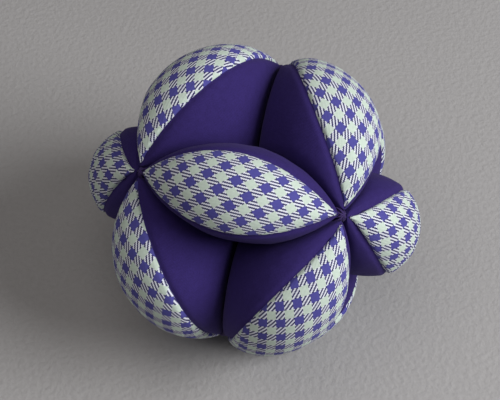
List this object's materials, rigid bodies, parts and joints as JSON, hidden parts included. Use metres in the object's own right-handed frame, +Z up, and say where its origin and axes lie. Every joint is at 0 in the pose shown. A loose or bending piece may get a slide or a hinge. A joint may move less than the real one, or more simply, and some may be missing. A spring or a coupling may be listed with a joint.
{
  "type": "stuffed cloth puzzle ball",
  "caption": "Baby's stuffed cloth puzzle ball: filled petal wedges in plain cloth and shepherd's check, sewn tip to tip round finger hollows.",
  "frame": {"origin": "centre of the ball's bounding box at the floor it rests on", "axes": "+Z up through the upper finger hollow; -Y faces the upper front wedge; +X to that wedge's right-hand tip"},
  "size_m": [0.1412, 0.1296, 0.1205],
  "materials": {
    "plain_cloth": "matt plain deep purple cotton",
    "check_cloth": "matt violet and pale mint shepherd's check cotton twill"
  },
  "bodies": {
    "root": {"upper_front_pouch": "plain_cloth", "upper_front_oval": "check_cloth", "upper_left_pouch": "plain_cloth", "upper_left_oval": "check_cloth", "upper_right_pouch": "plain_cloth", "upper_right_oval": "check_cloth", "front_left_pouch": "plain_cloth", "front_left_oval": "check_cloth", "front_right_pouch": "plain_cloth", "front_right_oval": "check_cloth", "side_left_pouch": "plain_cloth", "side_left_oval": "check_cloth", "side_right_pouch": "plain_cloth", "side_right_oval": "check_cloth", "back_left_pouch": "plain_cloth", "back_left_oval": "check_cloth", "back_right_pouch": "plain_cloth", "back_right_oval": "check_cloth", "under_back_pouch": "plain_cloth", "under_back_oval": "check_cloth", "under_left_pouch": "plain_cloth", "under_left_oval": "check_cloth", "under_right_pouch": "plain_cloth", "under_right_oval": "check_cloth"}
  },
  "joints": []
}
